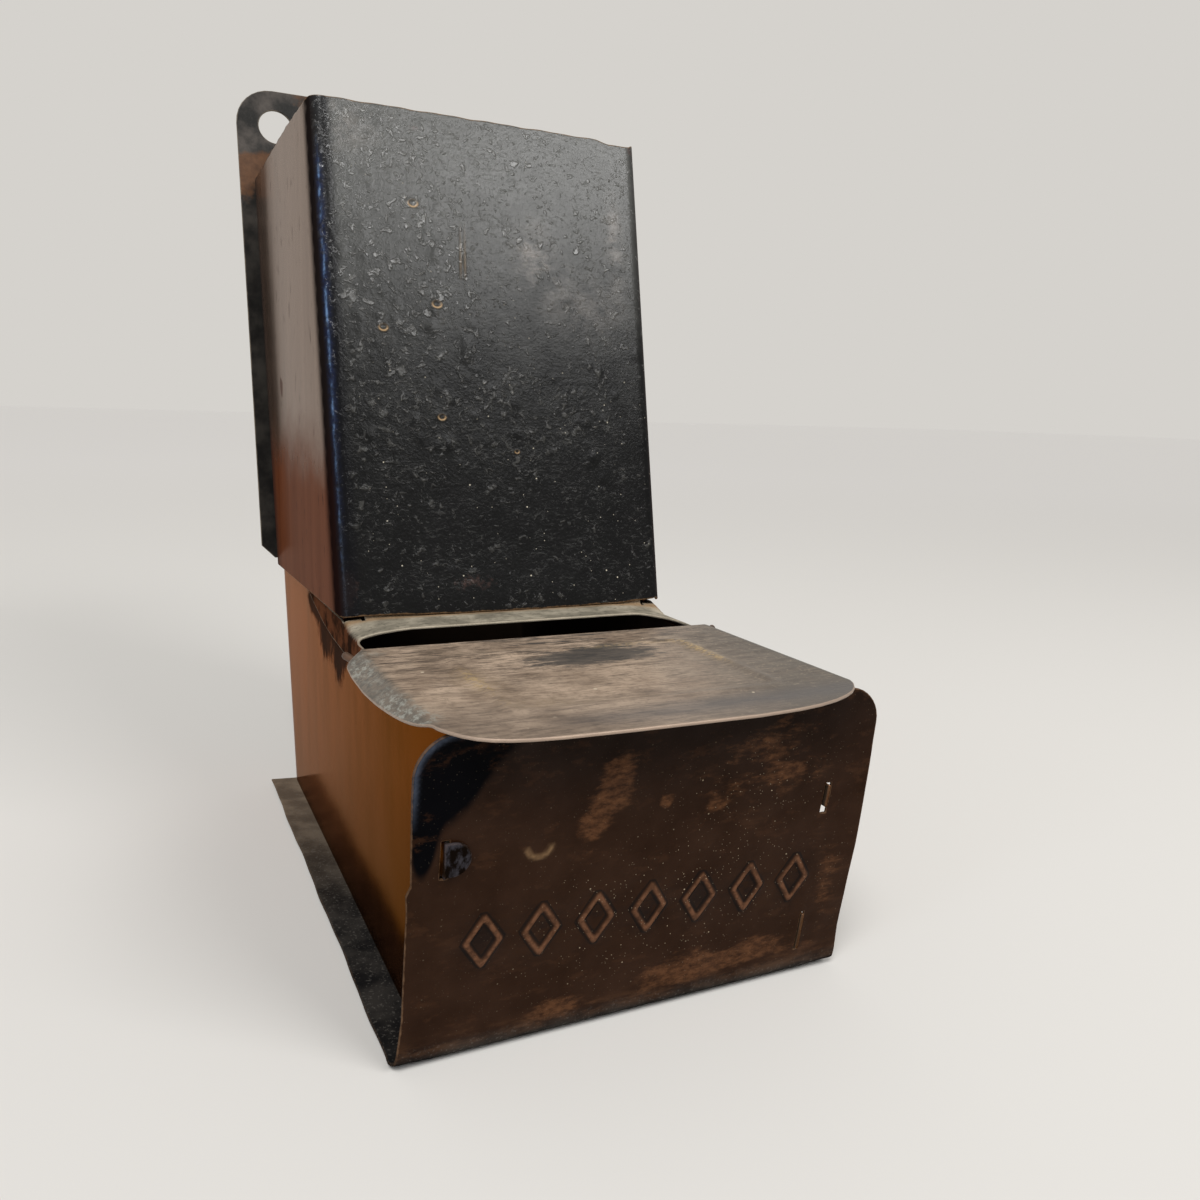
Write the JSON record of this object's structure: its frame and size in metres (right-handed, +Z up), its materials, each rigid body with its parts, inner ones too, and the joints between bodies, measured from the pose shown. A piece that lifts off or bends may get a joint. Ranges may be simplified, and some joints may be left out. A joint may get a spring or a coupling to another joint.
{
  "type": "match holder",
  "caption": "Sheet-metal match dispenser: tall open hopper with a hanging plate over a low tray whose hinged lid lifts to take a match.",
  "frame": {"origin": "middle of the underside of the base plate's length, in the middle of the hopper's width", "axes": "+Z up from the surface it stands on, +Y towards the back plate, +X to the right seen from the front"},
  "size_m": [0.0801, 0.1847, 0.1772],
  "materials": {
    "back_plate": "worn black japan with rust round the holes",
    "hopper": "black japan, satin and finely blistered on the front, glossy on the sides",
    "tray": "glossy brown-black japan",
    "strip": "dull black japan, worn bright along its edges",
    "front": "glossy brown-black japan with rust and dust",
    "wire": "dull iron wire",
    "lid": "worn through to grey-brown tinned iron"
  },
  "bodies": {
    "holder": {"back_plate": "back_plate", "hopper_shell": "hopper", "tray_shell": "tray", "bridge_strip": "strip", "front_and_base_plate": "front"},
    "lid": {"lid": "lid", "hinge_wire": "wire"}
  },
  "joints": [
    {"name": "lid_hinge", "type": "hinge", "parent": "holder", "child": "lid", "pos_m": [0, -0.02923, 0.0528], "axis": [-1, 0, 0], "range_deg": [0, 100]}
  ]
}
